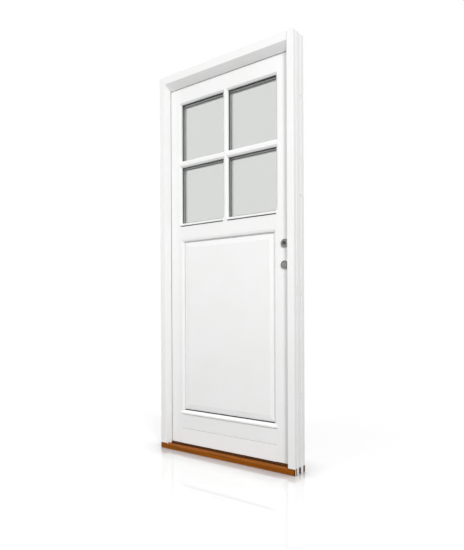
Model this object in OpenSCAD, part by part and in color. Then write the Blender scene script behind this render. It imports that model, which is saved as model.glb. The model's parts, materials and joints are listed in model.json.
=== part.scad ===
// Half glazed entrance door: painted timber leaf in its frame on a hardwood sill.
// +Z up, front (outside) towards -Y, millimetres, origin under the middle of the sill.
// Depths called "from the front" are measured from the front face of the frame.

/* [Show] */
// Which sub-part to draw

/* [Frame] */
// Outer width of the frame
frame_w = 888; // [780:1:1000]
// Outer height of the frame, sill included
frame_h = 2118; // [2000:1:2300]
// Depth of the frame, front to back
frame_d = 96; // [94:1:120]
// Width of a jamb seen from the front
jamb_face = 38.35; // [34:0.05:46]
// How much wider the jamb gets towards the leaf
jamb_splay = 12.5; // [8:0.5:14]
// Height of the head seen from the front
head_face = 41.5; // [36:0.5:60]
// How much lower the head gets towards the leaf
head_splay = 35; // [8:0.5:40]
// Gap between the leaf face and the stop face in front of it
face_gap = 5; // [5:0.5:7]
// Gap between the moving leaf and anything fixed
leaf_gap = 6; // [5:0.5:8]
// How far the leaf reaches behind the stop
stop_lap = 11; // [9:0.5:14]
// Width of the shallow grooves on the outer faces of the jambs
side_groove_w = 11; // [6:0.5:14]
// Depth of the shallow grooves on the outer faces of the jambs
side_groove_d = 2.5; // [1.5:0.5:4]
// Radius of a fixing hole through a jamb
fixing_r = 5.25; // [4:0.25:7]
// Height of the lowest fixing hole
fixing_low = 380; // [350:5:420]
// Distance of the highest fixing hole below the top of the frame
fixing_high = 298; // [260:2:340]
// Clearance between two pieces that are joined tight
seat = 0.3; // [0.2:0.05:0.5]

/* [Sill] */
// Height of the front face of the sill between the jambs
sill_front_h = 23; // [18:1:26]
// Height of the sill ends, which carry the jambs
sill_end_h = 30.5; // [28:0.5:34]
// Height of the sill under the leaf
sill_top_h = 31; // [28:0.5:32]
// Height of the step in the sill just in front of the leaf
sill_step = 4; // [3:0.5:5]
// Distance from the end of the sloped top to the stop face
sill_flat = 7; // [7:0.5:12]
// Depth of the first sill finger, at the front
finger_front = 6; // [4:0.5:8]
// Start of the second sill finger
finger_b0 = 13; // [11:0.5:14]
// End of the second sill finger
finger_b1 = 22; // [20:0.5:25]
// Start of the third sill finger
finger_c0 = 39; // [36:0.5:42]
// End of the third sill finger
finger_c1 = 58; // [52:0.5:62]
// Start of the fourth sill finger
finger_d0 = 80; // [74:0.5:84]

/* [Leaf] */
// Thickness of the leaf
leaf_t = 56; // [54:1:58]
// Height of the underside of the leaf
leaf_z0 = 38; // [37.5:0.5:42]
// Bevel of the lock edge
lock_bevel = 1.4; // [1:0.1:2]
// Width of a stile
stile_w = 85.65; // [80:0.05:105]
// Height of the top rail, from its bevelled edge to its top
top_rail_h = 102; // [85:1:130]
// Height of the lock rail
lock_rail_h = 76.5; // [70:0.5:120]
// Top of the lock rail as a share of the leaf's height
lock_rail_at = 0.6086; // [0.56:0.0002:0.64]
// Height of the bottom rail at the front
bottom_rail_h = 165; // [130:1:200]
// Height of the lip of the bottom rail behind the panel
rail_lip = 3; // [2:0.5:5]
// Height of the drip board
drip_h = 83; // [60:1:110]
// How far the drip board stands out at its foot
drip_out = 4.5; // [3:0.5:8]

/* [Glazing] */
// How far the cross bars sit below the middle of the lights
bar_drop = 3; // [0:0.5:20]
// Half width of the upright bar at the glass
vbar_half = 15; // [12:0.5:20]
// Half height of the cross bars at the glass
hbar_half = 18.2; // [14:0.1:22]
// Width of the bevel round each light
bevel_w = 10; // [5:0.1:12]
// Depth of the bevel round each light
bevel_d = 7; // [4:0.5:8]
// Depth of the flat lip behind the bevel
lip_d = 9; // [6:0.5:10]
// How far the glass reaches behind the lip
glass_lap = 9.4; // [8:0.1:10]
// Rebate depth behind the lip, to the sides
rebate_w = 10; // [9.5:0.5:11]
// Thickness of the gaskets
gasket_t = 2.4; // [2:0.1:3]
// How far the gaskets and the spacer show at the sides and foot of a light
gasket_show = 1; // [0.5:0.5:3]
// How far the outside gasket shows under the top of a light
gasket_top = 4; // [2:0.5:6]
// How far the spacer shows under the top of a light
spacer_top = 10; // [7:0.5:11]
// How far the inside bead reaches below the top of a light
bead_top = 12; // [11.5:0.5:14]
// Thickness of one pane
pane_t = 4; // [3:0.5:6]
// Thickness of the sealed glass unit
unit_t = 20; // [18:1:21]
// Depth of the weather bead in front of the leaf
bead_out = 6; // [4:0.5:8]
// Height of the weather bead under the lower lights
bead_h = 17.7; // [14:0.1:22]

/* [Panel] */
// Width of the moulding round the panel
moulding_w = 16; // [12:0.5:20]
// Depth of the rounded part of the moulding
moulding_d = 14; // [8:0.5:15]
// Width of the sloped margin of the panel
margin_w = 30; // [18:0.5:34]
// Depth of the raised field behind the leaf face
field_d = 10.5; // [6:0.5:12]
// Depth of the panel margin where it meets the moulding
margin_d = 15.5; // [13:0.5:17]
// Depth of the panel core behind the leaf face
core_d = 18; // [17.5:0.5:20]
// Thickness of the panel core
core_t = 20; // [16:1:22]
// Height of the open joint over the panel bead
panel_joint = 4.5; // [3:0.5:8]
// Height of the weather bead under the panel
panel_bead_h = 21; // [18:0.5:28]

/* [Lock] */
// Distance of the lock parts from the lock edge
lock_backset = 33.15; // [31:0.05:36]
// Height of the handle rose
handle_z = 1113; // [1050:1:1150]
// Distance from handle to cylinder
lock_spacing = 105; // [72:0.5:110]
// Radius of a rose
rose_r = 21; // [18:0.5:22]
// Thickness of a rose
rose_t = 8; // [6:0.5:10]
// Radius of the hole in the handle rose
rose_hole_r = 8; // [6:0.25:9]
// Radius of the lock cylinder
cyl_r = 11.5; // [9:0.25:13]
// Height of the lock faceplate
faceplate_h = 235; // [200:1:260]
// Width of the lock faceplate
faceplate_w = 22; // [18:1:26]
// Height of the strike plate
strike_h = 240; // [200:1:270]
// Height of a bolt slot in the strike plate
slot_h = 30; // [20:1:40]
// Width of a bolt slot in the strike plate
slot_w = 12; // [8:1:14]

/* [Hinges] */
// Distance of the lowest hinge above the foot of the leaf
hinge_low = 162; // [140:1:240]
// Distance of the highest hinge below the top of the leaf
hinge_high = 212; // [150:1:260]
// Height of one hinge
hinge_h = 81; // [70:1:100]
// Radius of a hinge knuckle
knuckle_r = 6.5; // [6:0.25:7]
// Radius of a hinge pin
pin_r = 4; // [3.5:0.1:4.5]
// Running clearance round a hinge pin
pin_clear = 0.1; // [0.05:0.05:0.3]
// Distance of the hinge pin behind the leaf
pin_back = 12; // [12:0.5:14]
// Thickness of a hinge plate
plate_t = 3; // [2.5:0.25:4]
// Width of a hinge plate
plate_w = 26; // [20:1:28]

/* [Hidden] */
$fn = 48;
half_w = frame_w / 2;
y_front = -frame_d / 2;
leaf_b = frame_d;
leaf_f = leaf_b - leaf_t;
leaf_mid = leaf_b - leaf_t / 2;
stop_d = leaf_f - face_gap;
sill_slope_d = stop_d - sill_flat;
stop_x = half_w - jamb_face - jamb_splay;
reb_x = stop_x + stop_lap + leaf_gap;
edge_x = reb_x - leaf_gap;
lock_edge = edge_x - 1;
stile_x = edge_x - stile_w;
soffit_z = frame_h - head_face - head_splay;
reb_z = soffit_z + stop_lap + leaf_gap;
leaf_top = reb_z - leaf_gap;
leaf_h = leaf_top - leaf_z0;
top_rail_z = leaf_top - top_rail_h;
lock_rail_top = leaf_z0 + leaf_h * lock_rail_at;
lock_rail_z = lock_rail_top - lock_rail_h;
bottom_rail_top = leaf_z0 + bottom_rail_h;
drip_top = leaf_z0 + drip_h;
lip_y = leaf_f + bevel_d + lip_d;
glass_y = lip_y + gasket_t + 2 * seat;
glass_back = glass_y + unit_t;
bead_y = glass_back + gasket_t + 2 * seat;
lower_sight = lock_rail_top + bead_h;
bar_z = (lower_sight + top_rail_z) / 2 - bar_drop;
light_x0 = vbar_half;
light_x1 = stile_x;
up_z0 = bar_z + hbar_half;
up_z1 = top_rail_z;
low_z0 = lower_sight;
low_z1 = bar_z - hbar_half;
panel_half = stile_x - moulding_w;
panel_top = lock_rail_z - moulding_w;
panel_bead_top = bottom_rail_top + panel_bead_h;
panel_z0 = panel_bead_top + panel_joint;
core_x = stile_x - 2 * seat;
core_z0 = bottom_rail_top + 8;
core_z1 = lock_rail_z - 2 * seat;
core_b = leaf_f + core_d + core_t;
lock_x = lock_edge - lock_backset;
cyl_z = handle_z - lock_spacing;
lock_mid = (handle_z + cyl_z) / 2;
strike_y = leaf_mid - faceplate_w / 2;
pin_x = -(edge_x + leaf_gap / 2);
pin_y = leaf_b + pin_back;
hinge_z0 = leaf_z0 + hinge_low;
hinge_pitch = (leaf_h - hinge_low - hinge_high - hinge_h) / 2;
fixing_pitch = (frame_h - fixing_low - fixing_high) / 3;
far = 40;

// Depths from the front become the shared frame
module place() {
    translate([0, y_front, 0]) children();
}

// Upright prism of a plan outline
module prism_z(pts, z0, z1) {
    translate([0, 0, z0]) linear_extrude(height = z1 - z0) polygon(pts);
}

// Prism along X of an outline given as depth and height
module prism_x(pts, x0, x1) {
    translate([x0, 0, 0]) rotate([90, 0, 90]) linear_extrude(height = x1 - x0) polygon(pts);
}

// Prism along the depth of an outline given as X and height
module prism_y(pts, y0, y1) {
    translate([0, y1, 0]) rotate([90, 0, 0]) linear_extrude(height = y1 - y0) polygon(pts);
}

module box(x0, x1, y0, y1, z0, z1) {
    translate([x0, y0, z0]) cube([x1 - x0, y1 - y0, z1 - z0]);
}

// Hole along the depth
module hole_y(x, z, r, y0, y1) {
    translate([x, y1, z]) rotate([90, 0, 0]) cylinder(h = y1 - y0, r = r);
}

// Opening of one light: bevel with mitred corners, lip and the rebate behind it
module light_cut(x0, x1, z0, z1, foot) {
    slope = bevel_w / bevel_d;
    w = bevel_w + slope;
    wf = foot ? w : 0;
    intersection() {
        prism_z([[x0 - w, leaf_f - 1], [x1 + w, leaf_f - 1], [x1, leaf_f + bevel_d],
            [x1, lip_y + 1], [x0, lip_y + 1], [x0, leaf_f + bevel_d]], z0 - far, z1 + far);
        prism_x([[leaf_f - 1, z0 - wf], [leaf_f + bevel_d, z0], [lip_y + 1, z0],
            [lip_y + 1, z1], [leaf_f + bevel_d, z1], [leaf_f - 1, z1 + w]], x0 - far, x1 + far);
    }
    box(x0 - rebate_w, x1 + rebate_w, lip_y, leaf_b + 1, z0 - (foot ? rebate_w : bead_h), z1 + rebate_w);
}

module all_lights() {
    for (side = [0, 1]) {
        mirror([side, 0, 0]) {
            light_cut(light_x0, light_x1, up_z0, up_z1, true);
            light_cut(light_x0, light_x1, low_z0, low_z1, false);
        }
    }
}

// Plan outline of a jamb on the +X side
module jamb_plan(z0, z1) {
    g1 = 18;
    g2 = 60;
    prism_z([[half_w, 0], [half_w, g1], [half_w - side_groove_d, g1 + 1.5],
        [half_w - side_groove_d, g1 + side_groove_w - 1.5], [half_w, g1 + side_groove_w],
        [half_w, g2], [half_w - side_groove_d, g2 + 1.5],
        [half_w - side_groove_d, g2 + side_groove_w - 1.5], [half_w, g2 + side_groove_w],
        [half_w, frame_d], [reb_x, frame_d], [reb_x, stop_d], [stop_x, stop_d],
        [half_w - jamb_face, 0]], z0, z1);
}

module fingers(grow) {
    box(0, half_w, -1, finger_front + grow, -1, sill_end_h + grow);
    box(0, half_w, finger_b0 - grow, finger_b1 + grow, -1, sill_end_h + grow);
    box(0, half_w, finger_c0 - grow, finger_c1 + grow, -1, sill_end_h + grow);
    box(0, half_w, finger_d0 - grow, frame_d + 1, -1, sill_end_h + grow);
}

module fixing_holes() {
    for (i = [0 : 3]) {
        translate([reb_x - 1, (stop_d + frame_d) / 2, fixing_low + i * fixing_pitch])
            rotate([0, 90, 0]) cylinder(h = half_w - reb_x + 2, r = fixing_r);
    }
}

module jamb() {
    difference() {
        jamb_plan(0, frame_h);
        fingers(seat);
        fixing_holes();
    }
}

module left_jamb() {
    color("white") place() mirror([1, 0, 0]) jamb();
}

module right_jamb() {
    color("white") place() difference() {
        jamb();
        box(reb_x - 1, reb_x + 2, strike_y - seat, strike_y + faceplate_w + seat,
            lock_mid - strike_h / 2 - seat, lock_mid + strike_h / 2 + seat);
    }
}

module frame_head() {
    color("white") place() {
        prism_x([[stop_d + seat, reb_z], [frame_d, reb_z], [frame_d, frame_h], [stop_d + seat, frame_h]],
            -reb_x + seat, reb_x - seat);
        intersection() {
            prism_x([[0, frame_h - head_face], [stop_d, soffit_z], [stop_d + seat, soffit_z],
                [stop_d + seat, frame_h], [0, frame_h]], -half_w, half_w);
            prism_z([[-half_w + jamb_face + seat, 0], [half_w - jamb_face - seat, 0],
                [stop_x - seat, stop_d + seat], [-stop_x + seat, stop_d + seat]], 0, frame_h + 1);
        }
    }
}

// Plan outline of the space between the jambs, grown sideways by g
module between_jambs(g) {
    xf = half_w - jamb_face + g;
    xs = stop_x + g;
    xr = reb_x + g;
    prism_z([[-xf, 0], [xf, 0], [xs, stop_d], [xr, stop_d], [xr, frame_d],
        [-xr, frame_d], [-xr, stop_d], [-xs, stop_d]], -1, frame_h);
}

module sill() {
    color("saddlebrown") place() {
        intersection() {
            prism_x([[0, 0], [frame_d, 0], [frame_d, sill_top_h], [leaf_f, sill_top_h],
                [stop_d, sill_top_h - sill_step], [sill_slope_d, sill_top_h - sill_step],
                [0, sill_front_h]], -half_w, half_w);
            between_jambs(-seat);
        }
        for (side = [0, 1]) {
            mirror([side, 0, 0]) difference() {
                intersection() {
                    box(stop_x - 5, half_w, 0, frame_d, 0, sill_end_h);
                    fingers(0);
                }
                between_jambs(-1);
            }
        }
    }
}

module threshold_strip() {
    y0 = sill_slope_d + 0.5;
    z0 = sill_top_h - sill_step + seat;
    color("dimgray") place()
        prism_x([[y0, z0], [y0 + 6.5, z0], [y0 + 6.5, z0 + 3], [y0 + 4.5, z0 + 5.5],
            [y0 + 2, z0 + 5.5], [y0, z0 + 2]], -stop_x + 2, stop_x - 2);
}

module side_seal() {
    prism_z([[stop_x + 1.5, stop_d + seat], [stop_x + 8, stop_d + seat], [stop_x + 8, stop_d + 3],
        [stop_x + 4, stop_d + 4.6], [stop_x + 1.5, stop_d + 4]], sill_top_h + 8, soffit_z + 1);
}

module left_jamb_seal() {
    color("lightgray") place() mirror([1, 0, 0]) side_seal();
}

module right_jamb_seal() {
    color("lightgray") place() side_seal();
}

module head_seal() {
    color("lightgray") place()
        prism_x([[stop_d + seat, soffit_z + 1.5], [stop_d + 4, soffit_z + 1.5],
            [stop_d + 4.6, soffit_z + 4], [stop_d + 3, soffit_z + 8],
            [stop_d + seat, soffit_z + 8]], -stop_x - 1, stop_x + 1);
}

// Slot for a bolt in the strike plate, under the height z
module bolt_slot(z) {
    box(reb_x - 1, reb_x + 3, leaf_mid - slot_w / 2, leaf_mid + slot_w / 2,
        z - slot_h * 1.5, z - slot_h / 2);
}

module strike_plate() {
    color("silver") place() difference() {
        box(reb_x + 0.2, reb_x + 2 - seat, strike_y, strike_y + faceplate_w,
            lock_mid - strike_h / 2, lock_mid + strike_h / 2);
        bolt_slot(handle_z);
        bolt_slot(cyl_z);
    }
}

module stile_blank(lock_side) {
    front_x = lock_side ? lock_edge - lock_bevel : edge_x;
    back_x = lock_side ? lock_edge : edge_x;
    prism_z([[stile_x, leaf_f], [front_x, leaf_f], [back_x, leaf_b], [stile_x, leaf_b]],
        leaf_z0, leaf_top);
}

module hinge_stile() {
    color("white") place() difference() {
        mirror([1, 0, 0]) stile_blank(false);
        all_lights();
    }
}

module lock_stile() {
    color("white") place() difference() {
        stile_blank(true);
        all_lights();
        hole_y(lock_x, handle_z, rose_hole_r + 1, leaf_f - 1, leaf_b + 1);
        hole_y(lock_x, cyl_z, cyl_r + seat, leaf_f - 1, leaf_b + 1);
        box(lock_edge - 5, lock_edge + 1, strike_y - seat, strike_y + faceplate_w + seat,
            lock_mid - faceplate_h / 2 - seat, lock_mid + faceplate_h / 2 + seat);
    }
}

module rail_blank(z0, z1) {
    box(-stile_x + seat, stile_x - seat, leaf_f, leaf_b, z0, z1);
}

module top_rail() {
    color("white") place() difference() {
        rail_blank(top_rail_z, leaf_top);
        all_lights();
    }
}

module lock_rail() {
    color("white") place() rail_blank(lock_rail_z, lock_rail_top);
}

module bottom_rail() {
    lip_top = bottom_rail_top + rail_lip;
    color("white") place() difference() {
        rail_blank(leaf_z0, lip_top);
        box(-stile_x, stile_x, leaf_f - 1, core_b + seat, bottom_rail_top, lip_top + 1);
    }
}

module vertical_glazing_bar() {
    color("white") place() difference() {
        box(-vbar_half, vbar_half, leaf_f, leaf_b, lock_rail_top + seat, top_rail_z - seat);
        all_lights();
    }
}

module cross_bar() {
    difference() {
        box(vbar_half + seat, stile_x - seat, leaf_f, leaf_b, bar_z - hbar_half, bar_z + hbar_half);
        all_lights();
    }
}

module left_glazing_bar() {
    color("white") place() mirror([1, 0, 0]) cross_bar();
}

module right_glazing_bar() {
    color("white") place() cross_bar();
}

module panes(x0, x1, z0, z1) {
    g = glass_lap;
    box(x0 - g, x1 + g, glass_y, glass_y + pane_t, z0 - g, z1 + g);
    box(x0 - g, x1 + g, glass_back - pane_t, glass_back, z0 - g, z1 + g);
}

module ring(x0, x1, z0, z1, y0, y1, top, lap) {
    difference() {
        box(x0 - lap, x1 + lap, y0, y1, z0 - lap, z1 + lap);
        box(x0 + gasket_show, x1 - gasket_show, y0 - 1, y1 + 1, z0 + gasket_show, z1 - top);
    }
}

module four_rings(y0, y1, top, lap) {
    for (side = [0, 1]) {
        mirror([side, 0, 0]) {
            ring(light_x0, light_x1, up_z0, up_z1, y0, y1, top, lap);
            ring(light_x0, light_x1, low_z0, low_z1, y0, y1, top, lap);
        }
    }
}

module top_left_glass() {
    color("lightblue") place() mirror([1, 0, 0]) panes(light_x0, light_x1, up_z0, up_z1);
}

module top_right_glass() {
    color("lightblue") place() panes(light_x0, light_x1, up_z0, up_z1);
}

module lower_left_glass() {
    color("lightblue") place() mirror([1, 0, 0]) panes(light_x0, light_x1, low_z0, low_z1);
}

module lower_right_glass() {
    color("lightblue") place() panes(light_x0, light_x1, low_z0, low_z1);
}

module glass_spacers() {
    color("gray") place()
        four_rings(glass_y + pane_t + seat, glass_back - pane_t - seat, spacer_top, 5);
}

module outside_gaskets() {
    color("black") place() four_rings(lip_y + seat, lip_y + seat + gasket_t, gasket_top, 9);
}

module inside_gaskets() {
    color("black") place()
        four_rings(glass_back + seat, glass_back + seat + gasket_t, bead_top + 1, 9);
}

module weather_bead() {
    x0 = vbar_half + seat;
    x1 = stile_x - seat;
    color("white") union() {
        prism_x([[leaf_f - seat, lock_rail_top + 1], [lip_y, lock_rail_top + seat],
            [lip_y, lower_sight], [leaf_f - seat, lock_rail_top + 12]], x0, x1);
        prism_x([[leaf_f - bead_out, lock_rail_top + 1], [leaf_f - seat, lock_rail_top + 1],
            [leaf_f - seat, lock_rail_top + 12], [leaf_f - bead_out, lock_rail_top + 8]], x0, x1 + 4);
    }
}

module left_weather_bead() {
    color("white") place() mirror([1, 0, 0]) weather_bead();
}

module right_weather_bead() {
    color("white") place() weather_bead();
}

// Four inside beads round one light, butted at the corners
module bead_set(x0, x1, z0, z1) {
    a = rebate_w - seat;
    y0 = bead_y;
    y1 = leaf_b;
    zt = z1 - bead_top;
    box(x0 - a, x1 + a, y0, y1, zt, z1 + a);
    box(x0 - a, x1 + a, y0, y1, z0 - a, z0);
    box(x0 - a, x0, y0, y1, z0 + seat, zt - seat);
    box(x1, x1 + a, y0, y1, z0 + seat, zt - seat);
}

module inside_glazing_beads() {
    color("white") place() {
        for (side = [0, 1]) {
            mirror([side, 0, 0]) {
                bead_set(light_x0, light_x1, up_z0, up_z1);
                bead_set(light_x0, light_x1, low_z0, low_z1);
            }
        }
    }
}

// Raised field with sloped margins on one face of the panel, pointing to the front
module raised_face() {
    y0 = leaf_f + field_d;
    y1 = leaf_f + margin_d;
    y2 = leaf_f + core_d;
    xf = panel_half - margin_w;
    zf0 = panel_z0 + margin_w;
    zf1 = panel_top - margin_w;
    p = panel_half - seat;
    intersection() {
        prism_z([[-xf, y0], [xf, y0], [p, y1], [p, y2 + 1], [-p, y2 + 1], [-p, y1]],
            panel_z0, panel_top - seat);
        prism_x([[y0, zf0], [y1, panel_z0], [y2 + 1, panel_z0], [y2 + 1, panel_top - seat],
            [y1, panel_top - seat], [y0, zf1]], -p, p);
    }
}

module panel() {
    mid = leaf_f + core_d + core_t / 2;
    color("white") place() {
        box(-core_x, core_x, leaf_f + core_d, core_b, core_z0, core_z1);
        raised_face();
        translate([0, 2 * mid, 0]) mirror([0, 1, 0]) raised_face();
    }
}

// Moulding outline: distance from the stile edge, depth behind the leaf face
module side_moulding() {
    prism_z([[-stile_x + seat, leaf_f], [-stile_x + 4.5, leaf_f],
        [-panel_half - 4.5, leaf_f + moulding_d * 0.2], [-panel_half - 1.5, leaf_f + moulding_d * 0.6],
        [-panel_half, leaf_f + moulding_d], [-panel_half, leaf_f + core_d - seat],
        [-stile_x + seat, leaf_f + core_d - seat]],
        panel_bead_top + seat, lock_rail_z);
}

module panel_moulding() {
    m = stile_x - panel_half;
    color("white") place() {
        for (side = [0, 1]) {
            mirror([side, 0, 0]) difference() {
                side_moulding();
                prism_y([[-stile_x - 1, lock_rail_z + 1 - seat], [-panel_half + 1, panel_top - 1 - seat],
                    [-panel_half + 1, lock_rail_z + 2], [-stile_x - 1, lock_rail_z + 2]], 0, frame_d);
            }
        }
        intersection() {
            prism_x([[leaf_f, lock_rail_z - seat], [leaf_f, lock_rail_z - 4.5],
                [leaf_f + moulding_d * 0.2, panel_top + 4.5],
                [leaf_f + moulding_d * 0.6, panel_top + 1.5],
                [leaf_f + moulding_d, panel_top], [leaf_f + core_d - seat, panel_top],
                [leaf_f + core_d - seat, lock_rail_z - seat]], -stile_x, stile_x);
            prism_y([[-stile_x + seat, lock_rail_z], [-panel_half + seat, panel_top],
                [panel_half - seat, panel_top], [stile_x - seat, lock_rail_z]], 0, frame_d);
        }
    }
}

module panel_weather_bead() {
    z0 = bottom_rail_top + seat;
    x1 = stile_x - seat;
    color("white") place() {
        prism_x([[leaf_f - seat, z0], [leaf_f + core_d - seat, z0],
            [leaf_f + core_d - seat, panel_bead_top], [leaf_f + 6, panel_bead_top],
            [leaf_f - seat, panel_bead_top - 6]], -x1, x1);
        prism_x([[leaf_f - bead_out, z0], [leaf_f - seat, z0], [leaf_f - seat, panel_bead_top - 6],
            [leaf_f - bead_out, panel_bead_top - 12]], -x1 - 2, x1 + 2);
    }
}

module inside_panel_beads() {
    a = panel_half;
    y0 = core_b + seat;
    y1 = leaf_b;
    zb = bottom_rail_top + rail_lip + seat;
    color("white") place() {
        box(-stile_x + seat, stile_x - seat, y0, y1, panel_top, lock_rail_z - seat);
        box(-stile_x + seat, stile_x - seat, y0, y1, zb, panel_z0 - seat);
        box(-stile_x + seat, -a, y0, y1, panel_z0, panel_top - seat);
        box(a, stile_x - seat, y0, y1, panel_z0, panel_top - seat);
    }
}

module drip_board() {
    color("white") place()
        prism_x([[leaf_f - 1.5, drip_top], [leaf_f - drip_out, leaf_z0 + 8],
            [leaf_f - drip_out, leaf_z0 + 0.5], [leaf_f - seat, leaf_z0 + 0.5],
            [leaf_f - seat, drip_top]], -stile_x - 1.5, stile_x + 1.5);
}

module lock_faceplate() {
    y0 = strike_y;
    y1 = strike_y + faceplate_w;
    k = lock_bevel / leaf_t;
    e0 = lock_edge - (leaf_b - y0) * k - seat;
    e1 = lock_edge - (leaf_b - y1) * k - seat;
    color("silver") place()
        prism_z([[e0 - 3, y0], [e0, y0], [e1, y1], [e0 - 3, y1]],
            lock_mid - faceplate_h / 2, lock_mid + faceplate_h / 2);
}

// Round rose on the front face of the leaf, with its hole
module rose(z, hole) {
    translate([lock_x, leaf_f - seat, z]) rotate([90, 0, 0]) difference() {
        union() {
            cylinder(h = rose_t - 2, r = rose_r);
            translate([0, 0, rose_t - 2]) cylinder(h = 2, r1 = rose_r, r2 = rose_r - 2);
        }
        translate([0, 0, -1]) cylinder(h = rose_t + 2, r = hole);
    }
}

module outside_handle_rose() {
    color("silver") place() rose(handle_z, rose_hole_r);
}

module outside_cylinder_rose() {
    color("silver") place() rose(cyl_z, cyl_r + seat);
}

module inside_handle_rose() {
    color("silver") place() translate([0, leaf_f + leaf_b, 0]) mirror([0, 1, 0])
        rose(handle_z, rose_hole_r);
}

module inside_cylinder_rose() {
    color("silver") place() translate([0, leaf_f + leaf_b, 0]) mirror([0, 1, 0])
        rose(cyl_z, cyl_r + seat);
}

module lock_cylinder() {
    color("gray") place() difference() {
        hole_y(lock_x, cyl_z, cyl_r, leaf_f - rose_t - 1, leaf_b + rose_t + 1);
        box(lock_x - 1.4, lock_x + 1.4, leaf_f - rose_t - 2, leaf_f - rose_t + 4, cyl_z - 5, cyl_z + 5);
        box(lock_x - 1.4, lock_x + 1.4, leaf_b + rose_t - 4, leaf_b + rose_t + 2, cyl_z - 5, cyl_z + 5);
    }
}

// Fixed half of a hinge: plate on the jamb, lower knuckle and the pin
module frame_hinge(z) {
    h = (hinge_h - 1) / 2;
    x1 = -reb_x - 3;
    color("silver") place() {
        box(x1 - plate_w, x1, leaf_b + seat, leaf_b + seat + plate_t, z, z + hinge_h);
        prism_z([[x1 - 4, leaf_b + seat], [x1, leaf_b + seat], [x1, leaf_b + 5], [pin_x - 2.5, pin_y + 4],
            [pin_x - 4, pin_y + 4], [x1 - 4, leaf_b + 8]], z, z + h);
        translate([pin_x, pin_y, z]) cylinder(h = h, r = knuckle_r);
        translate([pin_x, pin_y, z]) cylinder(h = hinge_h - 4, r = pin_r);
    }
}

// Moving half of a hinge: plate on the leaf and the upper knuckle with its bore
module leaf_hinge(z) {
    h = (hinge_h - 1) / 2;
    x0 = -edge_x + 3;
    color("silver") place() difference() {
        union() {
            box(x0, x0 + plate_w, leaf_b + seat, leaf_b + seat + plate_t, z, z + hinge_h);
            prism_z([[x0 + 4, leaf_b + seat], [x0, leaf_b + seat], [x0, leaf_b + 5],
                [pin_x + 2.5, pin_y + 4], [pin_x + 4, pin_y + 4], [x0 + 4, leaf_b + 8]],
                z + h + 1, z + hinge_h);
            translate([pin_x, pin_y, z + h + 1]) cylinder(h = h, r = knuckle_r);
        }
        translate([pin_x, pin_y, z + h]) cylinder(h = h - 2, r = pin_r + pin_clear);
    }
}

module frame_hinge_bottom() { frame_hinge(hinge_z0); }
module frame_hinge_middle() { frame_hinge(hinge_z0 + hinge_pitch); }
module frame_hinge_top() { frame_hinge(hinge_z0 + 2 * hinge_pitch); }
module leaf_hinge_bottom() { leaf_hinge(hinge_z0); }
module leaf_hinge_middle() { leaf_hinge(hinge_z0 + hinge_pitch); }
module leaf_hinge_top() { leaf_hinge(hinge_z0 + 2 * hinge_pitch); }

left_jamb();
right_jamb();
frame_head();
sill();
threshold_strip();
left_jamb_seal();
right_jamb_seal();
head_seal();
strike_plate();
frame_hinge_bottom();
frame_hinge_middle();
frame_hinge_top();
hinge_stile();
lock_stile();
top_rail();
lock_rail();
bottom_rail();
vertical_glazing_bar();
left_glazing_bar();
right_glazing_bar();
top_left_glass();
top_right_glass();
lower_left_glass();
lower_right_glass();
glass_spacers();
outside_gaskets();
inside_gaskets();
left_weather_bead();
right_weather_bead();
inside_glazing_beads();
panel();
panel_moulding();
panel_weather_bead();
inside_panel_beads();
drip_board();
lock_faceplate();
outside_handle_rose();
outside_cylinder_rose();
inside_handle_rose();
inside_cylinder_rose();
lock_cylinder();
leaf_hinge_bottom();
leaf_hinge_middle();
leaf_hinge_top();
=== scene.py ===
"""Half glazed entrance door: finishes, eased edges, small fittings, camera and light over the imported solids.

Lengths named in millimetres are turned to metres with MM. The front (outside) is towards -Y and up is +Z.
"""

import json
import logging
import math
from collections.abc import Callable, Iterable, Mapping, Sequence
from dataclasses import dataclass, field
from enum import Enum
from functools import cache

import bmesh
import bpy
from mathutils import Matrix, Vector


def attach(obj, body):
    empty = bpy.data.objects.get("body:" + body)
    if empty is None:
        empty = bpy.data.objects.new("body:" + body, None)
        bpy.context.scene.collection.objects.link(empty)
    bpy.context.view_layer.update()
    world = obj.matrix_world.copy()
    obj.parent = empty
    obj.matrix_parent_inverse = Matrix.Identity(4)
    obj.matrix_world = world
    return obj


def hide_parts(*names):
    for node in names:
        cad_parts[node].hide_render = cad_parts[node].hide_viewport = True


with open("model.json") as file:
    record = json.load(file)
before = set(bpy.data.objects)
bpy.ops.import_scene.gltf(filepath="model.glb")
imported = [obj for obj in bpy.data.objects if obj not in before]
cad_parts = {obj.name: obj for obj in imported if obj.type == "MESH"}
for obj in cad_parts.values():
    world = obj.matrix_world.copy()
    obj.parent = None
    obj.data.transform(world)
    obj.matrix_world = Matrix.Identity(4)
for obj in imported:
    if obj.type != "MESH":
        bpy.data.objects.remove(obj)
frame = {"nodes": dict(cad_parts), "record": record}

LOG = logging.getLogger("half_glazed_door")
MM = 0.001
FIBRE_RANGE = (0.3, 0.7)
BODY_OF_NODE = {
    node: body for body, nodes in frame["record"]["behaviour"]["bodies"].items() for node in nodes
}

Colour = tuple[float, float, float, float]
Point = tuple[float, float, float]
Feed = bpy.types.NodeSocket | float | Sequence[float]


def linear(code: str) -> Colour:
    """Turns an sRGB hex value into a linear colour.

    Args:
        code: Six hex digits, such as "F4F4F2".

    Returns:
        Linear red, green and blue, with an alpha of 1.
    """
    parts = (int(code[i : i + 2], 16) / 255 for i in (0, 2, 4))
    red, green, blue = (p / 12.92 if p <= 0.04045 else ((p + 0.055) / 1.055) ** 2.4 for p in parts)
    return red, green, blue, 1.0


def per_metre(size_mm: float) -> float:
    """Gives the Scale of a noise or cell pattern whose features are size_mm wide."""
    return 1.0 / (size_mm * MM)


def wave_scale(pitch_mm: float) -> float:
    """Gives the Scale of a wave pattern with one band every pitch_mm."""
    return math.tau / (20.0 * pitch_mm * MM)


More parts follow.
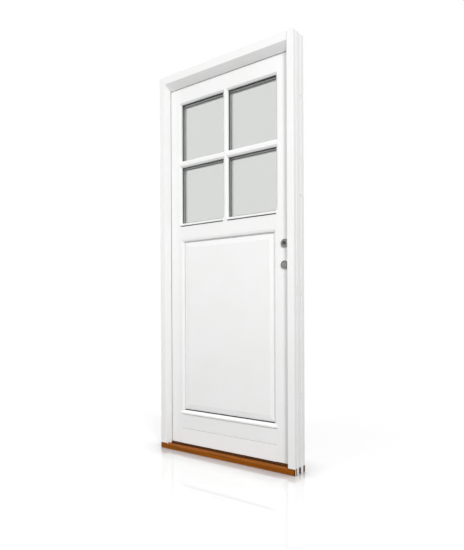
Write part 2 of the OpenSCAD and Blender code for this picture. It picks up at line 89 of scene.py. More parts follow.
def add_node(
    tree: bpy.types.NodeTree, kind: str, feeds: Mapping[str | int, Feed] | None = None, **settings: object
) -> bpy.types.Node:
    """Adds a node to a tree, sets its properties and feeds its inputs.

    Args:
        tree: The node tree that gets the node.
        kind: The node's type name.
        feeds: For each input, by name or number, a value or the output socket to link.
        **settings: The node's own properties.

    Returns:
        The new node.
    """
    node = tree.nodes.new(kind)
    for name, value in settings.items():
        setattr(node, name, value)
    for key, feed in (feeds or {}).items():
        socket = node.inputs[key]
        if isinstance(feed, bpy.types.NodeSocket):
            tree.links.new(feed, socket)
        else:
            socket.default_value = feed
    return node


def map_range(
    tree: bpy.types.NodeTree,
    value: bpy.types.NodeSocket,
    source: tuple[float, float],
    target: tuple[float, float] = (0.0, 1.0),
    **settings: object,
) -> bpy.types.NodeSocket:
    """Maps a value from one range to another, clamped at both ends.

    Args:
        tree: The node tree.
        value: The value's socket.
        source: The range that it is read from.
        target: The range that it is mapped to.
        **settings: The node's own properties.

    Returns:
        The mapped value's socket.
    """
    (low, high), (to_low, to_high) = source, target
    feeds = {"Value": value, "From Min": low, "From Max": high, "To Min": to_low, "To Max": to_high}
    return add_node(tree, "ShaderNodeMapRange", feeds, **settings).outputs[0]


def bump_of(
    tree: bpy.types.NodeTree, height: bpy.types.NodeSocket, depth_mm: float, **settings: object
) -> bpy.types.Node:
    """Adds a bump of full strength with the given depth in millimetres."""
    feeds = {"Height": height, "Distance": depth_mm * MM, "Strength": 1.0}
    return add_node(tree, "ShaderNodeBump", feeds, **settings)


def blend(
    tree: bpy.types.NodeTree, share: bpy.types.NodeSocket, low: Feed, high: Feed, **settings: object
) -> bpy.types.NodeSocket:
    """Mixes two colours by a share and gives the mixed colour's socket."""
    feeds = {0: share, 6: low, 7: high}
    return add_node(tree, "ShaderNodeMix", feeds, data_type="RGBA", **settings).outputs[2]


class Grain(Enum):
    """The way a timber's grain runs, as the stretch of a pattern along X, Y and Z."""

    UPRIGHT = (1.0, 1.0, 0.06)
    ACROSS = (0.06, 1.0, 1.0)
    NONE = (1.0, 1.0, 1.0)

    @property
    def axis(self) -> int | None:
        """The number of the axis that the grain follows, or None for a board without grain."""
        return {Grain.UPRIGHT: 2, Grain.ACROSS: 0}.get(self)


class Lay(Enum):
    """The way a metal was finished: brushed upwards, brushed across or turned."""

    UPWARDS = (1.0, 1.0, 0.02)
    ACROSS = (0.02, 1.0, 1.0)
    TURNED = (1.0, 0.0, 1.0)


@dataclass(frozen=True)
class Finish:
    """What every finish has: its name, and one Principled shader that build() feeds."""

    name: str

    def start(self) -> tuple[bpy.types.Material, bpy.types.NodeTree, bpy.types.Node, bpy.types.NodeSocket]:
        """Makes the empty material.

        Returns:
            The material, its tree, its shader node and the Object coordinates.
        """
        material = bpy.data.materials.new(self.name)
        material.use_nodes = True
        tree = material.node_tree
        tree.nodes.clear()
        shader = add_node(tree, "ShaderNodeBsdfPrincipled")
        add_node(tree, "ShaderNodeOutputMaterial", {"Surface": shader.outputs["BSDF"]})
        place = add_node(tree, "ShaderNodeTexCoord").outputs["Object"]
        return material, tree, shader, place

    def build(self) -> bpy.types.Material:
        """Makes the material; each finish has its own."""
        raise NotImplementedError


@dataclass(frozen=True)
class SprayedPine(Finish):
    """Pine sprayed with semi-gloss white: an even white with a soft sheen, the grain faintly telegraphed.

    The spray leaves a fine orange peel, and the coat is a shade warmer where it is thinner.
    """

    grain: Grain = Grain.UPRIGHT
    paint: str = "F5F5F5"
    thin_coat: str = "F3F3F2"
    grain_mm: float = 3.0
    peel_mm: float = 1.8
    cloud_mm: float = 220.0
    grain_depth_mm: float = 0.02
    peel_depth_mm: float = 0.01
    roughness: tuple[float, float] = (0.3, 0.4)

    def build(self) -> bpy.types.Material:
        """Makes the painted timber.

        Returns:
            The material.
        """
        material, tree, shader, place = self.start()
        along = add_node(tree, "ShaderNodeMapping", {"Vector": place, "Scale": self.grain.value})
        fibres = add_node(
            tree,
            "ShaderNodeTexNoise",
            {"Vector": along.outputs[0], "Scale": per_metre(self.grain_mm), "Detail": 3.0},
        )
        peel = add_node(
            tree, "ShaderNodeTexNoise", {"Vector": place, "Scale": per_metre(self.peel_mm), "Detail": 1.0}
        )
        cloud = add_node(
            tree, "ShaderNodeTexNoise", {"Vector": place, "Scale": per_metre(self.cloud_mm), "Detail": 3.0}
        )
        coat = map_range(tree, cloud.outputs[0], (0.35, 0.65))
        tone = blend(tree, coat, linear(self.paint), linear(self.thin_coat))
        sheen = map_range(tree, fibres.outputs[0], FIBRE_RANGE, self.roughness)
        grain_bump = bump_of(tree, fibres.outputs[0], self.grain_depth_mm)
        peel_bump = bump_of(tree, peel.outputs[0], self.peel_depth_mm)
        tree.links.new(grain_bump.outputs[0], peel_bump.inputs["Normal"])
        tree.links.new(tone, shader.inputs["Base Color"])
        tree.links.new(sheen, shader.inputs["Roughness"])
        tree.links.new(peel_bump.outputs[0], shader.inputs["Normal"])
        shader.inputs["IOR"].default_value = 1.48
        return material


@dataclass(frozen=True)
class OiledHardwood(Finish):
    """Orange-brown hardwood, planed and oiled: open dark pores and growth bands under a low oil sheen.

    The growth rings are cylinders round the X axis, so the ends show them as arcs and the faces as streaks.
    The ends soak up more oil, which darkens them.
    """

    light: str = "B0640C"
    middle: str = "8F4C03"
    dark: str = "673503"
    pore: str = "452606"
    end_shade: str = "A08A78"
    ring_mm: float = 5.0
    pore_mm: float = 0.9
    streak_mm: float = 7.0
    end_mm: float = 444.0
    soak_mm: float = 9.0
    heart_offset_mm: Point = (0.0, 95.0, 70.0)
    pore_depth_mm: float = 0.15
    roughness: tuple[float, float] = (0.46, 0.6)

    def build(self) -> bpy.types.Material:
        """Makes the oiled timber.

        Returns:
            The material.
        """
        material, tree, shader, place = self.start()
        heart = add_node(
            tree,
            "ShaderNodeMapping",
            {"Vector": place, "Location": [v * MM for v in self.heart_offset_mm], "Scale": (0.3, 1.0, 1.0)},
        )
        rings = add_node(
            tree,
            "ShaderNodeTexWave",
            {
                "Vector": heart.outputs[0],
                "Scale": wave_scale(self.ring_mm),
                "Distortion": 3.0,
                "Detail": 2.0,
                "Detail Scale": 0.4,
            },
            wave_type="RINGS",
            rings_direction="X",
        )
        along = add_node(tree, "ShaderNodeMapping", {"Vector": place, "Scale": (0.03, 1.0, 1.0)})
        streaks = add_node(
            tree,
            "ShaderNodeTexNoise",
            {"Vector": along.outputs[0], "Scale": per_metre(self.streak_mm), "Detail": 4.0},
        )
        pores = add_node(
            tree,
            "ShaderNodeTexNoise",
            {"Vector": along.outputs[0], "Scale": per_metre(self.pore_mm), "Detail": 2.0},
        )
        mixed = add_node(
            tree,
            "ShaderNodeMix",
            {0: 0.6, 2: rings.outputs["Fac"], 3: streaks.outputs[0]},
            data_type="FLOAT",
        )
        tone = add_node(tree, "ShaderNodeValToRGB", {"Fac": mixed.outputs[0]})
        tone.color_ramp.elements[0].position = 0.25
        tone.color_ramp.elements[0].color = linear(self.dark)
        tone.color_ramp.elements[1].position = 0.75
        tone.color_ramp.elements[1].color = linear(self.light)
        tone.color_ramp.elements.new(0.5).color = linear(self.middle)
        open_pores = map_range(tree, pores.outputs[0], (0.60, 0.72), (0.0, 0.8))
        colour = blend(tree, open_pores, tone.outputs[0], linear(self.pore))
        axes = add_node(tree, "ShaderNodeSeparateXYZ", {0: place})
        reach = add_node(tree, "ShaderNodeMath", {0: axes.outputs["X"]}, operation="ABSOLUTE")
        ends = map_range(tree, reach.outputs[0], ((self.end_mm - self.soak_mm) * MM, self.end_mm * MM))
        soaked = blend(tree, ends, colour, linear(self.end_shade), blend_type="MULTIPLY")
        sheen = map_range(tree, streaks.outputs[0], FIBRE_RANGE, self.roughness)
        bump = bump_of(tree, open_pores, self.pore_depth_mm, invert=True)
        tree.links.new(soaked, shader.inputs["Base Color"])
        tree.links.new(sheen, shader.inputs["Roughness"])
        tree.links.new(bump.outputs[0], shader.inputs["Normal"])
        shader.inputs["IOR"].default_value = 1.4
        shader.inputs["Specular IOR Level"].default_value = 0.25
        return material


@dataclass(frozen=True)
class FloatGlass(Finish):
    """Float glass of a sealed unit, with a thin sun coating: flat, clear and a neutral grey seen through.

    Light from the lamps passes, so that what is behind it stays lit.
    """

    tint: str = "EAEBEA"
    lamp_tint: str = "FAFBFA"
    ripple_mm: float = 90.0
    ripple_depth_mm: float = 0.02

    def build(self) -> bpy.types.Material:
        """Makes the glass.

        Returns:
            The material.
        """
        material, tree, shader, place = self.start()
        ripple = add_node(
            tree, "ShaderNodeTexNoise", {"Vector": place, "Scale": per_metre(self.ripple_mm), "Detail": 0.0}
        )
        bump = bump_of(tree, ripple.outputs[0], self.ripple_depth_mm)
        tree.links.new(bump.outputs[0], shader.inputs["Normal"])
        shader.inputs["Base Color"].default_value = linear(self.tint)
        shader.inputs["Roughness"].default_value = 0.0
        shader.inputs["IOR"].default_value = 1.52
        shader.inputs["Transmission Weight"].default_value = 1.0
        clear = add_node(tree, "ShaderNodeBsdfTransparent", {"Color": linear(self.lamp_tint)})
        ray = add_node(tree, "ShaderNodeLightPath")
        passing = add_node(
            tree,
            "ShaderNodeMixShader",
            {0: ray.outputs["Is Shadow Ray"], 1: shader.outputs["BSDF"], 2: clear.outputs["BSDF"]},
        )
        output = next(n for n in tree.nodes if n.bl_idname == "ShaderNodeOutputMaterial")
        tree.links.new(passing.outputs["Shader"], output.inputs["Surface"])
        return material


@dataclass(frozen=True)
class ExtrudedRubber(Finish):
    """Extruded sealing rubber: matt, with a dusty bloom and fine lines along the profile."""

    body: str = "1A1B1A"
    bloom: str = "2A2C2A"
    grit_mm: float = 1.2
    grit_depth_mm: float = 0.03
    roughness: float = 0.62

    def build(self) -> bpy.types.Material:
        """Makes the rubber.

        Returns:
            The material.
        """
        material, tree, shader, place = self.start()
        grit = add_node(
            tree, "ShaderNodeTexNoise", {"Vector": place, "Scale": per_metre(self.grit_mm), "Detail": 3.0}
        )
        tone = blend(tree, grit.outputs[0], linear(self.body), linear(self.bloom))
        bump = bump_of(tree, grit.outputs[0], self.grit_depth_mm)
        tree.links.new(tone, shader.inputs["Base Color"])
        tree.links.new(bump.outputs[0], shader.inputs["Normal"])
        shader.inputs["Roughness"].default_value = self.roughness
        shader.inputs["IOR"].default_value = 1.52
        return material


@dataclass(frozen=True)
class PerforatedSpacer(Finish):
    """Roll-formed aluminium spacer of a sealed unit: dull grey with rows of fine breathing holes."""

    face: str = "B9BBBA"
    hole: str = "5A5C5C"
    pitch_mm: float = 3.4
    hole_share: float = 0.2
    hole_depth_mm: float = 0.2

    def build(self) -> bpy.types.Material:
        """Makes the spacer's metal.

        Returns:
            The material.
        """
        material, tree, shader, place = self.start()
        axes = add_node(tree, "ShaderNodeSeparateXYZ", {0: place})
        run = add_node(tree, "ShaderNodeMath", {0: axes.outputs["X"], 1: axes.outputs["Z"]}, operation="ADD")
        flat = add_node(tree, "ShaderNodeCombineXYZ", {"X": run.outputs[0], "Y": axes.outputs["Y"]})
        cells = add_node(
            tree,
            "ShaderNodeTexVoronoi",
            {"Vector": flat.outputs[0], "Scale": per_metre(self.pitch_mm), "Randomness": 0.0},
            voronoi_dimensions="2D",
        )
        rim = map_range(tree, cells.outputs["Distance"], (self.hole_share * 0.8, self.hole_share))
        tone = blend(tree, rim, linear(self.hole), linear(self.face))
        bump = bump_of(tree, rim, self.hole_depth_mm)
        tree.links.new(tone, shader.inputs["Base Color"])
        tree.links.new(bump.outputs[0], shader.inputs["Normal"])
        shader.inputs["Metallic"].default_value = 1.0
        shader.inputs["Roughness"].default_value = 0.42
        return material


@dataclass(frozen=True)
class WorkedMetal(Finish):
    """Steel or aluminium with a brushed or turned surface: fine lines that spread its highlights.

    The lines are drawn about twice as coarse as real ones, so that they show.
    """

    lay: Lay = Lay.UPWARDS
    colour: str = "A9A8A4"
    tarnish: str = "8F8E8A"
    line_mm: float = 0.45
    line_depth_mm: float = 0.02
    cloud_mm: float = 14.0
    centre_mm: Point = (0.0, 0.0, 0.0)
    roughness: float = 0.3

    def build(self) -> bpy.types.Material:
        """Makes the metal.

        Returns:
            The material.
        """
        material, tree, shader, place = self.start()
        centred = add_node(
            tree,
            "ShaderNodeVectorMath",
            {0: place, 1: [v * MM for v in self.centre_mm]},
            operation="SUBTRACT",
        )
        laid = add_node(
            tree, "ShaderNodeVectorMath", {0: centred.outputs[0], 1: self.lay.value}, operation="MULTIPLY"
        )
        if self.lay is Lay.TURNED:
            radius = add_node(tree, "ShaderNodeVectorMath", {0: laid.outputs[0]}, operation="LENGTH")
            lines = add_node(
                tree,
                "ShaderNodeTexNoise",
                {"W": radius.outputs["Value"], "Scale": per_metre(self.line_mm), "Detail": 2.0},
                noise_dimensions="1D",
            )
        else:
            lines = add_node(
                tree,
                "ShaderNodeTexNoise",
                {"Vector": laid.outputs[0], "Scale": per_metre(self.line_mm), "Detail": 2.0},
            )
        cloud = add_node(
            tree, "ShaderNodeTexNoise", {"Vector": place, "Scale": per_metre(self.cloud_mm), "Detail": 3.0}
        )
        tone = blend(tree, cloud.outputs[0], linear(self.colour), linear(self.tarnish))
        spread = map_range(
            tree, lines.outputs[0], FIBRE_RANGE, (self.roughness - 0.06, self.roughness + 0.08)
        )
        bump = bump_of(tree, lines.outputs[0], self.line_depth_mm)
        tree.links.new(tone, shader.inputs["Base Color"])
        tree.links.new(spread, shader.inputs["Roughness"])
        tree.links.new(bump.outputs[0], shader.inputs["Normal"])
        shader.inputs["Metallic"].default_value = 1.0
        return material


@cache
def material_of(finish: Finish) -> bpy.types.Material:
    """Builds a finish once, and gives the same material each time after."""
    return finish.build()


UPRIGHT_PAINT = SprayedPine("white_sprayed_pine_upright", Grain.UPRIGHT)
CROSS_PAINT = SprayedPine("white_sprayed_pine_across", Grain.ACROSS)
PANEL_PAINT = SprayedPine("white_sprayed_board", Grain.NONE, grain_depth_mm=0.01)
SILL_OIL = OiledHardwood("oiled_hardwood")
PANE_GLASS = FloatGlass("coated_float_glass")
DARK_RUBBER = ExtrudedRubber("black_extruded_rubber")
PALE_RUBBER = ExtrudedRubber("grey_extruded_rubber", body="8A8B88", bloom="A2A39F")
GLAZING_RUBBER = ExtrudedRubber("dark_grey_glazing_rubber", body="383A39", bloom="4A4C4B")
SPACER = PerforatedSpacer("roll_formed_aluminium_spacer")
BRONZE_ANODISED = WorkedMetal(
    "bronze_anodised_aluminium", Lay.ACROSS, colour="453429", tarnish="33261E", roughness=0.42
)
BRUSHED_STEEL = WorkedMetal("brushed_steel", Lay.UPWARDS)
CAST_ZINC = WorkedMetal("greased_cast_zinc", Lay.UPWARDS, colour="3C3C3B", tarnish="242423", roughness=0.5)
GRAIN_PAINT = {Grain.UPRIGHT: UPRIGHT_PAINT, Grain.ACROSS: CROSS_PAINT, Grain.NONE: PANEL_PAINT}


def dress(node: str, finish: Finish) -> None:
    """Gives a CAD node its finish.

    Args:
        node: The node's name.
        finish: What its surface is.
    """
    slots = frame["nodes"][node].data.materials
    slots.clear()
    slots.append(material_of(finish))
    LOG.info("%s: dressed in %s", node, finish.name)


def set_up(
    name: str, mesh: bmesh.types.BMesh, body: str, finish: Finish, stands_for: Iterable[str] = ()
) -> bpy.types.Object:
    """Turns a finished bmesh into a piece that rides on a body.

    Args:
        name: The piece's name.
        mesh: Its mesh, in place, which is freed.
        body: The CAD body that it moves with.
        finish: What its surface is.
        stands_for: The CAD nodes that it replaces.

    Returns:
        The piece.
    """
    data = bpy.data.meshes.new(name)
    mesh.to_mesh(data)
    mesh.free()
    piece = bpy.data.objects.new(name, data)
    bpy.context.scene.collection.objects.link(piece)
    data.materials.append(material_of(finish))
    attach(piece, body)
    for node in stands_for:
        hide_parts(node)
    LOG.info("%s: %d faces in %s", name, len(data.polygons), finish.name)
    return piece


@dataclass(frozen=True)
class EasedNode:
    """A CAD node's shape with its sharp edges rounded as a plane, sander or press leaves them.

    Edges where a neighbour lies flush stay sharp, and so do short ones, such as holes and fingers. On an
    upright timber so do the edges within sharp_inside_mm of the door's middle plane, such as its grooves.
    """

    node: str
    finish: Finish
    grain: Grain = Grain.NONE
    ease_mm: float = 1.5
    flush_mm: tuple[float, ...] = ()
    shortest_mm: float = 60.0
    steps: int = 2
    sharpest: float = math.radians(12.0)
    sharp_inside_mm: float = 0.0

    def copy(self) -> bmesh.types.BMesh:
        """Makes a merged copy of the node's mesh, with one face for each flat side."""
        mesh = bmesh.new()
        mesh.from_mesh(frame["nodes"][self.node].data)
        bmesh.ops.remove_doubles(mesh, verts=mesh.verts, dist=0.02 * MM)
        bmesh.ops.dissolve_limit(
            mesh,
            angle_limit=math.radians(0.5),
            verts=mesh.verts,
            edges=mesh.edges,
            use_dissolve_boundaries=False,
        )
        return mesh

    def is_eased(self, edge: bmesh.types.BMEdge) -> bool:
        """Says whether an edge gets rounded.

        Args:
            edge: An edge of the merged copy.

        Returns:
            True for a long outward edge with no neighbour flush beside it.
        """
        if not edge.is_manifold or edge.calc_face_angle_signed() < self.sharpest:
            return False
        if edge.calc_length() < self.shortest_mm * MM:
            return False
        axis = self.grain.axis
        if axis is None:
            return True
        start, end = (v.co for v in edge.verts)
        if abs((end - start).normalized()[axis]) < 0.999:
            return False
        middle = (start + end) / 2
        if axis == 2 and abs(middle.y) < self.sharp_inside_mm * MM:
            return False
        reach = abs(middle.x) if axis == 2 else middle.z
        return all(abs(reach - flush * MM) > 0.6 * MM for flush in self.flush_mm)

    def round_edges(self, mesh: bmesh.types.BMesh) -> None:
        """Rounds the eased edges and shades only the new strips smooth."""
        edges = [edge for edge in mesh.edges if self.is_eased(edge)]
        made = bmesh.ops.bevel(
            mesh,
            geom=edges,
            offset=self.ease_mm * MM,
            offset_type="OFFSET",
            segments=self.steps,
            profile=0.5,
            affect="EDGES",
            material=-1,
            clamp_overlap=True,
        )
        for face in made["faces"]:
            face.smooth = True

    def build(self, shaping: Callable[[bmesh.types.BMesh], None] | None = None) -> bpy.types.Object:
        """Makes the piece that stands for the node.

        Args:
            shaping: Further work on the copy, done before its edges are rounded.

        Returns:
            The piece.
        """
        mesh = self.copy()
        if shaping is not None:
            shaping(mesh)
        self.round_edges(mesh)
        body = BODY_OF_NODE[self.node]
        return set_up(f"{self.node}_finished", mesh, body, self.finish, [self.node])


def painted(node: str, grain: Grain, ease_mm: float = 1.5, flush_mm: tuple[float, ...] = ()) -> EasedNode:
    """Describes one painted timber of the door.

    Args:
        node: Its CAD node.
        grain: The way its grain runs.
        ease_mm: How far its edges are rounded.
        flush_mm: Where its neighbours lie flush: distances from the middle, or heights for rails.

    Returns:
        The timber, ready to build.
    """
    return EasedNode(node, GRAIN_PAINT[grain], grain, ease_mm, flush_mm)


@dataclass
class FrameJoinery:
    """The fixed timbers: jambs, head and hardwood sill, with the threshold strip and the seals."""

    arris_mm: float = 2.0
    sill_arris_mm: float = 1.5
    groove_zone_mm: float = 40.0

    def build(self) -> None:
        """Builds and dresses the frame."""
        for timber in (
            EasedNode(
                "left_jamb", UPRIGHT_PAINT, Grain.UPRIGHT, self.arris_mm, sharp_inside_mm=self.groove_zone_mm
            ),
            EasedNode(
                "right_jamb", UPRIGHT_PAINT, Grain.UPRIGHT, self.arris_mm, sharp_inside_mm=self.groove_zone_mm
            ),
            painted("frame_head", Grain.ACROSS, self.arris_mm),
            EasedNode("sill", SILL_OIL, Grain.ACROSS, self.sill_arris_mm),
        ):
            timber.build()
        dress("threshold_strip", BRONZE_ANODISED)
        for seal in ("left_jamb_seal", "right_jamb_seal"):
            dress(seal, PALE_RUBBER)
        # The head seal is real rubber. It is made dark so that it also stands for the painted shade in the gap
        # under the head.
        dress("head_seal", DARK_RUBBER)


@dataclass
class LeafJoinery:
    """The moving timbers: stiles, rails, glazing bars, beads, the raised panel and the drip board."""

    stile_joint_mm: float = 318.5
    bar_joint_mm: float = 15.0
    arris_mm: float = 1.2
    bead_arris_mm: float = 1.0
    board_arris_mm: float = 0.5
    line_height_mm: float = 1197.0
    line_half_mm: float = 302.5
    line_width_mm: float = 2.4
    line_depth_mm: float = 0.7

    def score_line(self, mesh: bmesh.types.BMesh) -> None:
        """Cuts the fine stopped line that runs across the front of the lock rail.

        Args:
            mesh: The merged copy of the lock rail.
        """
        level, half = self.line_height_mm, self.line_width_mm / 2
        planes = [((0.0, 0.0, z * MM), (0.0, 0.0, 1.0)) for z in (level - half, level, level + half)]
        planes += [((x * MM, 0.0, 0.0), (1.0, 0.0, 0.0)) for x in (-self.line_half_mm, self.line_half_mm)]
        for point, normal in planes:
            bmesh.ops.bisect_plane(
                mesh,
                geom=[*mesh.verts, *mesh.edges, *mesh.faces],
                dist=0.001 * MM,
                plane_co=point,
                plane_no=normal,
            )
        front = min(v.co.y for v in mesh.verts)
        for vert in mesh.verts:
            level_with = abs(vert.co.z - level * MM) < 0.01 * MM
            within = abs(vert.co.x) <= self.line_half_mm * MM + 1e-6
            if level_with and within and abs(vert.co.y - front) < 0.01 * MM:
                vert.co.y += self.line_depth_mm * MM

    def build(self) -> None:
        """Builds and dresses the leaf's timbers."""
        stile, bar = (self.stile_joint_mm,), (self.bar_joint_mm,)
        for timber in (
            painted("hinge_stile", Grain.UPRIGHT, self.arris_mm, stile),
            painted("lock_stile", Grain.UPRIGHT, self.arris_mm, stile),
            painted("top_rail", Grain.ACROSS, self.arris_mm),
            painted("bottom_rail", Grain.ACROSS, self.arris_mm),
            painted("vertical_glazing_bar", Grain.UPRIGHT, self.bead_arris_mm, bar),
            painted("left_glazing_bar", Grain.ACROSS, self.bead_arris_mm),
            painted("right_glazing_bar", Grain.ACROSS, self.bead_arris_mm),
            painted("left_weather_bead", Grain.ACROSS, self.bead_arris_mm),
            painted("right_weather_bead", Grain.ACROSS, self.bead_arris_mm),
            painted("panel_weather_bead", Grain.ACROSS, self.bead_arris_mm),
            painted("drip_board", Grain.ACROSS, self.board_arris_mm),
            painted("panel_moulding", Grain.NONE, 0.6),
            painted("inside_panel_beads", Grain.NONE, self.bead_arris_mm),
            painted("panel", Grain.NONE, self.bead_arris_mm),
        ):
            timber.build()
        painted("lock_rail", Grain.ACROSS, self.arris_mm).build(self.score_line)


@dataclass
class Glazing:
    """The four sealed units: outer and inner panes, spacers, and the gaskets and beads that hold them.

    Along the top of each light the gaskets, spacer and inside bead are trimmed to a thinner line.
    """

    panes: tuple[str, ...] = ("top_left_glass", "top_right_glass", "lower_left_glass", "lower_right_glass")
    lip_mm: tuple[float, ...] = (1950.5, 1594.91)
    near_mm: float = 0.4
    outside_drop_mm: tuple[float, float] = (4.0, 0.6)
    spacer_drop_mm: tuple[float, float] = (10.0, 5.6)
    inside_drop_mm: tuple[float, float] = (13.0, 8.4)
    bead_drop_mm: tuple[float, float] = (12.0, 7.6)

    def trim(self, drop_mm: float, left_mm: float) -> Callable[[bmesh.types.BMesh], None]:
        """Gives the shaping that raises a ring's edge under the top of each light.

        Args:
            drop_mm: How far below the lip that edge is.
            left_mm: How far below the lip it ends up.

        Returns:
            The shaping, for EasedNode.build.
        """

        def shaping(mesh: bmesh.types.BMesh) -> None:
            """Raises the edge's vertices."""
            for vert in mesh.verts:
                if any(abs(vert.co.z - (lip - drop_mm) * MM) < self.near_mm * MM for lip in self.lip_mm):
                    vert.co.z += (drop_mm - left_mm) * MM

        return shaping

    def build(self) -> None:
        """Dresses the panes, and trims the spacers, gaskets and inside beads."""
        for pane in self.panes:
            dress(pane, PANE_GLASS)
        for node, finish, drops_mm in (
            ("glass_spacers", SPACER, self.spacer_drop_mm),
            ("outside_gaskets", GLAZING_RUBBER, self.outside_drop_mm),
            ("inside_gaskets", GLAZING_RUBBER, self.inside_drop_mm),
            ("inside_glazing_beads", PANEL_PAINT, self.bead_drop_mm),
        ):
            ease_mm = 0.8 if finish is PANEL_PAINT else 0.2
            EasedNode(node, finish, ease_mm=ease_mm).build(self.trim(*drops_mm))


@dataclass
class PaintedShadeStrips:
    """Painted shade: dark and grey strips laid in the leaf's joints, where the joints read as shadow lines.

    Dark rubber strips stand for the shade in the joints under the lights' weather beads, over the panel's bead
    and in the panel's joint on the hinge side, which reads as a dark line. Grey strips stand for the fainter
    shade lines under the panel's bead and along the top of the drip board.
    """

    light_low_mm: Point = (15.6, -9.2, 1260.9)
    light_high_mm: Point = (318.0, -7.9, 1264.9)
    panel_low_mm: Point = (-302.0, 1.0, 224.2)
    panel_high_mm: Point = (302.0, 9.6, 227.6)
    bead_low_mm: Point = (-316.0, -9.4, 201.8)
    bead_high_mm: Point = (316.0, -7.9, 203.4)
    board_low_mm: Point = (-318.0, -9.6, 120.9)
    board_high_mm: Point = (318.0, -7.9, 122.4)
    side_low_mm: Point = (-302.45, 7.1, 229.5)
    side_high_mm: Point = (-301.3, 8.6, 1170.5)
    round_mm: float = 0.5

    def strip(self, name: str, low_mm: Point, high_mm: Point, finish: Finish = DARK_RUBBER) -> None:
        """Lays one strip of painted shade, with rounded long edges.

        Args:
            name: The piece's name.
            low_mm: Its lowest corner.
            high_mm: Its highest corner.
            finish: Its colour: dark rubber by default, or grey rubber for the fainter shade lines.
        """
        low, high = Vector(low_mm) * MM, Vector(high_mm) * MM
        mesh = bmesh.new()
        shape = Matrix.Translation((low + high) / 2) @ Matrix.Diagonal((*(high - low), 1.0))
        bmesh.ops.create_cube(mesh, size=1.0, matrix=shape)
        edges = [e for e in mesh.edges if e.calc_length() > (high.x - low.x) * 0.9]
        bmesh.ops.bevel(
            mesh, geom=edges, offset=self.round_mm * MM, segments=2, profile=0.5, affect="EDGES", material=-1
        )
        set_up(name, mesh, "leaf", finish)

    def build(self) -> None:
        """Lays the six strips of painted shade."""
        low, high = self.light_low_mm, self.light_high_mm
        # Each strip is a dark or grey piece laid where the joint holds only shade: painted shade.
        self.strip("right_bead_shade_strip", low, high)
        self.strip("left_bead_shade_strip", (-high[0], *low[1:]), (-low[0], *high[1:]))
        self.strip("panel_foot_shade_strip", self.panel_low_mm, self.panel_high_mm)
        self.strip("panel_side_shade_strip", self.side_low_mm, self.side_high_mm)
        self.strip("panel_bead_shade_line", self.bead_low_mm, self.bead_high_mm, PALE_RUBBER)
        self.strip("drip_board_shade_line", self.board_low_mm, self.board_high_mm, PALE_RUBBER)


@dataclass(frozen=True)
class CountersunkScrews:
    """A set of flush screws with six-lobed sockets, made as one piece."""

    name: str
    body: str
    spots_mm: tuple[Point, ...]
    facing: Point
    head_mm: float = 3.6
    proud_mm: float = 0.3
    lobes: int = 6

    def head(self, mesh: bmesh.types.BMesh) -> list[bmesh.types.BMVert]:
        """Adds one screw head that faces +Z, with its top at the origin.

        Args:
            mesh: The bmesh that gets it.

        Returns:
            The head's vertices.
        """
        known = set(mesh.verts)
        bmesh.ops.create_cone(
            mesh,
            cap_ends=True,
            segments=self.lobes * 4,
            radius1=self.head_mm * MM,
            radius2=(self.head_mm - 0.25) * MM,
            depth=0.6 * MM,
        )
        added = [v for v in mesh.verts if v not in known]
        top = max({f for v in added for f in v.link_faces}, key=lambda f: f.calc_center_median().z)
        bmesh.ops.inset_individual(mesh, faces=[top], thickness=self.head_mm * 0.5 * MM)
        ring = sorted(top.verts, key=lambda v: math.atan2(v.co.y, v.co.x))
        for number, vert in enumerate(ring):
            if number % 4 == 0:
                vert.co.xy *= 0.72
        sunk = bmesh.ops.extrude_face_region(mesh, geom=[top])
        bmesh.ops.translate(
            mesh,
            vec=(0.0, 0.0, -0.5 * MM),
            verts=[v for v in sunk["geom"] if isinstance(v, bmesh.types.BMVert)],
        )
        bmesh.ops.delete(mesh, geom=[top], context="FACES_ONLY")
        return [v for v in mesh.verts if v not in known]

    def build(self, finish: Finish = BRUSHED_STEEL) -> bpy.types.Object:
        """Makes the screws at their places.

        Args:
            finish: What they are made of.

        Returns:
            The piece.
        """
        mesh = bmesh.new()
        turn = Vector((0.0, 0.0, 1.0)).rotation_difference(Vector(self.facing)).to_matrix()
        lift = Vector((0.0, 0.0, (self.proud_mm - 0.3) * MM))
        for number, spot in enumerate(self.spots_mm):
            verts = self.head(mesh)
            spin = Matrix.Rotation(math.radians(23.0 * number), 3, "Z")
            bmesh.ops.translate(mesh, vec=lift, verts=verts)
            bmesh.ops.rotate(mesh, cent=(0.0, 0.0, 0.0), matrix=turn @ spin, verts=verts)
            bmesh.ops.translate(mesh, vec=Vector(spot) * MM, verts=verts)
        bmesh.ops.recalc_face_normals(mesh, faces=mesh.faces)
        return set_up(self.name, mesh, self.body, finish)


